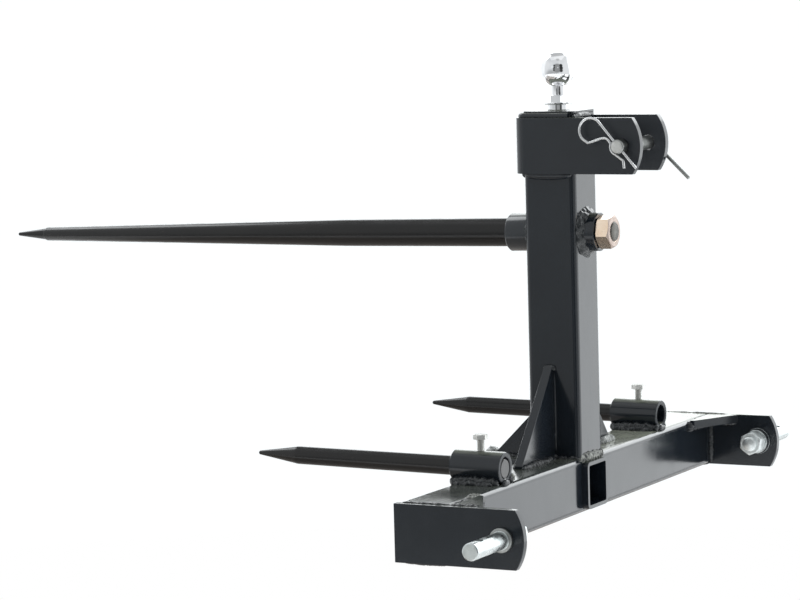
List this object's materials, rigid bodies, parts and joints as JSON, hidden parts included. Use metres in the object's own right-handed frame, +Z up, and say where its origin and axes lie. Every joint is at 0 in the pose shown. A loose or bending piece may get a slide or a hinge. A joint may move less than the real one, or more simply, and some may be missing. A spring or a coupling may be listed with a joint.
{
  "type": "bale spear",
  "caption": "Tractor bale spear: long pointed main spear on a mast, short stabilizer spears, square receiver tube, hitch ball and three-point link pins.",
  "frame": {"origin": "midpoint of the axis through the two lower link pins", "axes": "+X along the cross beam and the lower link pins, to the right as the tractor drives; +Y towards the tractor, the spears point along -Y; +Z up the mast"},
  "size_m": [1.046, 1.0493, 0.6205],
  "materials": {
    "bright_zinc_ball_lock_washer": "bright zinc plate",
    "bright_zinc_ball_nut": "bright zinc plate",
    "black_paint_cap_plate": "semi-gloss black paint",
    "black_paint_cross_beam": "semi-gloss black paint",
    "black_paint_front_mast_gusset": "semi-gloss black paint",
    "chrome_hitch_ball": "polished chrome plate",
    "black_paint_left_corner_gusset": "semi-gloss black paint",
    "black_paint_left_end_plate": "semi-gloss black paint",
    "bright_zinc_left_flat_washer": "bright zinc plate",
    "bright_zinc_left_lock_washer": "bright zinc plate",
    "bright_zinc_left_lower_link_pin": "bright zinc plate",
    "black_paint_left_mast_gusset": "semi-gloss black paint",
    "bright_zinc_left_pin_nut": "bright zinc plate",
    "bright_zinc_left_set_bolt": "bright zinc plate",
    "black_paint_left_socket": "semi-gloss black paint",
    "spear_paint_left_stabilizer_spear": "black paint over forged steel",
    "spear_paint_main_spear": "black paint over forged steel",
    "black_paint_mast_tube": "semi-gloss black paint",
    "spring_wire_r_clip": "bright zinc plated spring wire",
    "black_paint_receiver_tube": "semi-gloss black paint",
    "black_paint_right_corner_gusset": "semi-gloss black paint",
    "black_paint_right_end_plate": "semi-gloss black paint",
    "bright_zinc_right_flat_washer": "bright zinc plate",
    "bright_zinc_right_lock_washer": "bright zinc plate",
    "bright_zinc_right_lower_link_pin": "bright zinc plate",
    "black_paint_right_mast_gusset": "semi-gloss black paint",
    "bright_zinc_right_pin_nut": "bright zinc plate",
    "bright_zinc_right_set_bolt": "bright zinc plate",
    "black_paint_right_socket": "semi-gloss black paint",
    "spear_paint_right_stabilizer_spear": "black paint over forged steel",
    "yellow_zinc_spear_nut": "yellow zinc plate",
    "black_paint_spear_sleeve": "semi-gloss black paint",
    "black_paint_top_link_bracket": "semi-gloss black paint",
    "bright_zinc_top_link_pin": "bright zinc plate",
    "bright_zinc_top_pin_handle": "bright zinc plate"
  },
  "bodies": {
    "root": {"ball_lock_washer": "bright_zinc_ball_lock_washer", "ball_nut": "bright_zinc_ball_nut", "cap_plate": "black_paint_cap_plate", "cross_beam": "black_paint_cross_beam", "front_mast_gusset": "black_paint_front_mast_gusset", "hitch_ball": "chrome_hitch_ball", "left_corner_gusset": "black_paint_left_corner_gusset", "left_end_plate": "black_paint_left_end_plate", "left_flat_washer": "bright_zinc_left_flat_washer", "left_lock_washer": "bright_zinc_left_lock_washer", "left_lower_link_pin": "bright_zinc_left_lower_link_pin", "left_mast_gusset": "black_paint_left_mast_gusset", "left_pin_nut": "bright_zinc_left_pin_nut", "left_set_bolt": "bright_zinc_left_set_bolt", "left_socket": "black_paint_left_socket", "left_stabilizer_spear": "spear_paint_left_stabilizer_spear", "main_spear": "spear_paint_main_spear", "mast_tube": "black_paint_mast_tube", "r_clip": "spring_wire_r_clip", "receiver_tube": "black_paint_receiver_tube", "right_corner_gusset": "black_paint_right_corner_gusset", "right_end_plate": "black_paint_right_end_plate", "right_flat_washer": "bright_zinc_right_flat_washer", "right_lock_washer": "bright_zinc_right_lock_washer", "right_lower_link_pin": "bright_zinc_right_lower_link_pin", "right_mast_gusset": "black_paint_right_mast_gusset", "right_pin_nut": "bright_zinc_right_pin_nut", "right_set_bolt": "bright_zinc_right_set_bolt", "right_socket": "black_paint_right_socket", "right_stabilizer_spear": "spear_paint_right_stabilizer_spear", "spear_nut": "yellow_zinc_spear_nut", "spear_sleeve": "black_paint_spear_sleeve", "top_link_bracket": "black_paint_top_link_bracket", "top_link_pin": "bright_zinc_top_link_pin", "top_pin_handle": "bright_zinc_top_pin_handle"}
  },
  "joints": []
}
